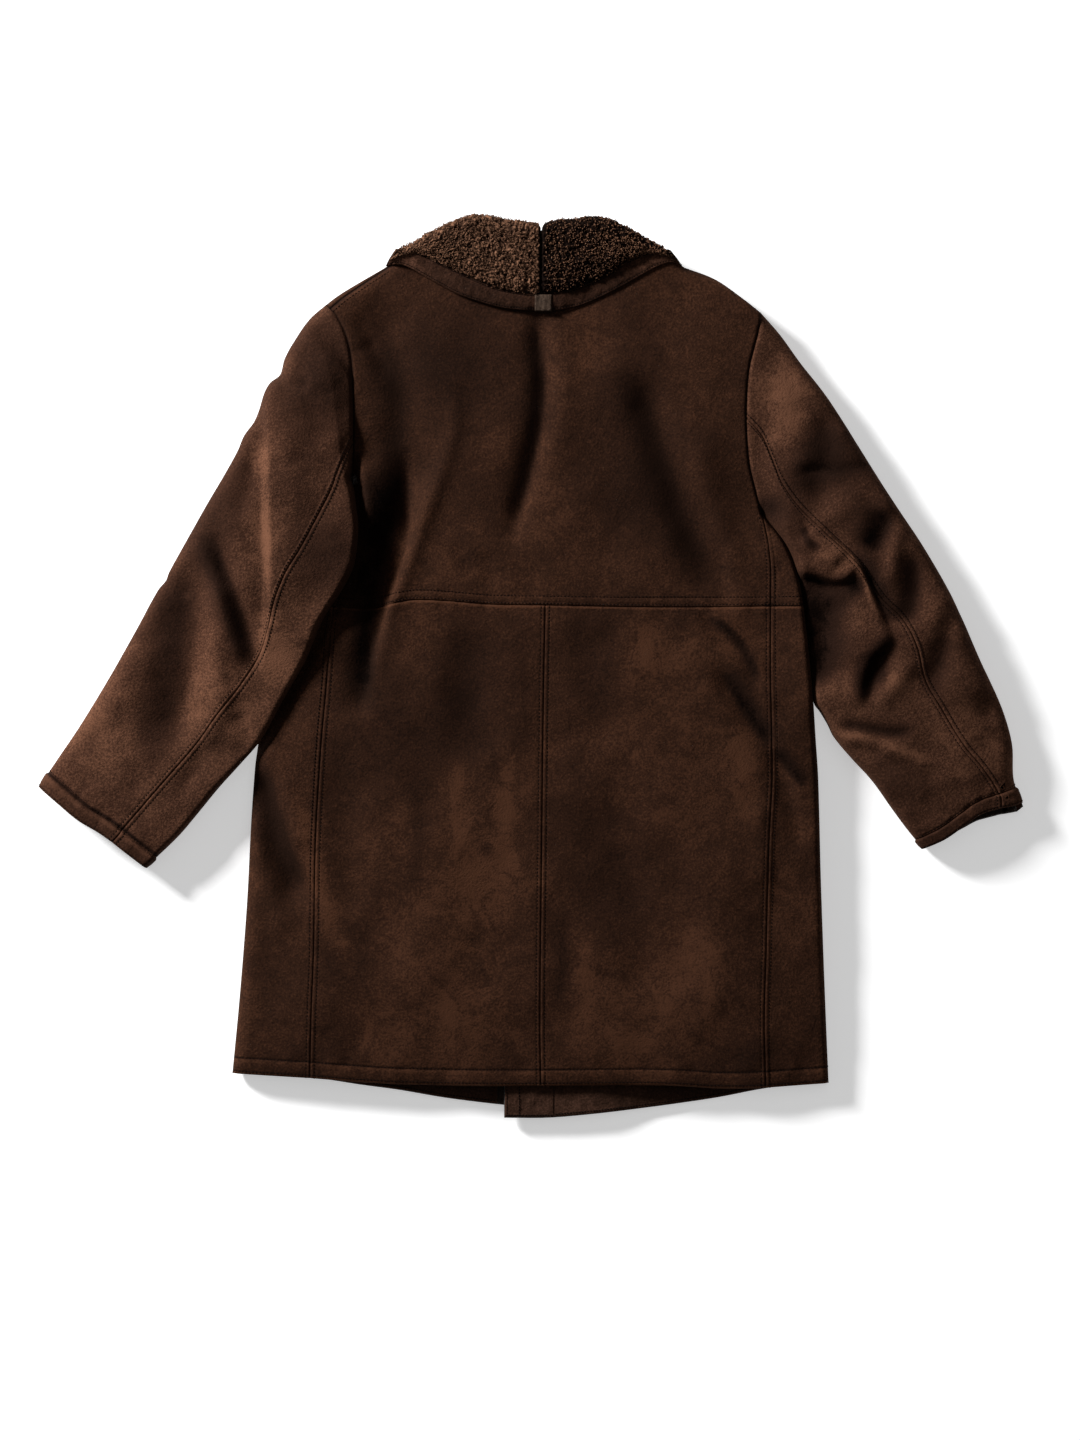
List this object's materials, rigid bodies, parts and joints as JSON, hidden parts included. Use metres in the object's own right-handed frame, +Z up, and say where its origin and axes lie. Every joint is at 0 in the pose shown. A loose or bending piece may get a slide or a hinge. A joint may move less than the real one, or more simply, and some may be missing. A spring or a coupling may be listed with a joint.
{
  "type": "shearling coat",
  "caption": "Shearling coat laid flat, back up: suede outside, curly fleece collar folded over the back with a suede band, waist seam, long two-piece sleeves.",
  "frame": {"origin": "middle of the coat's bounding box, on the surface that it lies on", "axes": "+X across the coat from one sleeve to the other, +Y from the hem towards the collar, +Z up off the surface, out of the back"},
  "size_m": [1.1163, 1.0278, 0.0588],
  "materials": {
    "suede": "dark brown suede, napped, mottled",
    "suede_band": "dark brown suede band, stitched along its edges",
    "fleece": "brown curly sheep's wool",
    "tab_leather": "dark smooth leather, worn",
    "suede_facing": "dark brown suede, inside of the hem"
  },
  "bodies": {
    "root": {"back_upper": "suede", "back_lower_left": "suede", "back_lower_right": "suede", "front_upper_left": "suede", "front_upper_right": "suede", "front_lower_left": "suede", "front_lower_right": "suede", "sleeve_left_top": "suede", "sleeve_left_under": "suede", "sleeve_right_top": "suede", "sleeve_right_under": "suede", "cuff_band_left": "suede_band", "cuff_band_right": "suede_band", "collar_left": "fleece", "collar_right": "fleece", "collar_band_left": "suede_band", "collar_band_right": "suede_band", "collar_tab": "tab_leather", "facing_right": "suede_facing", "hem_turn_left": "suede_facing", "hem_turn_right": "suede_facing"}
  },
  "joints": []
}
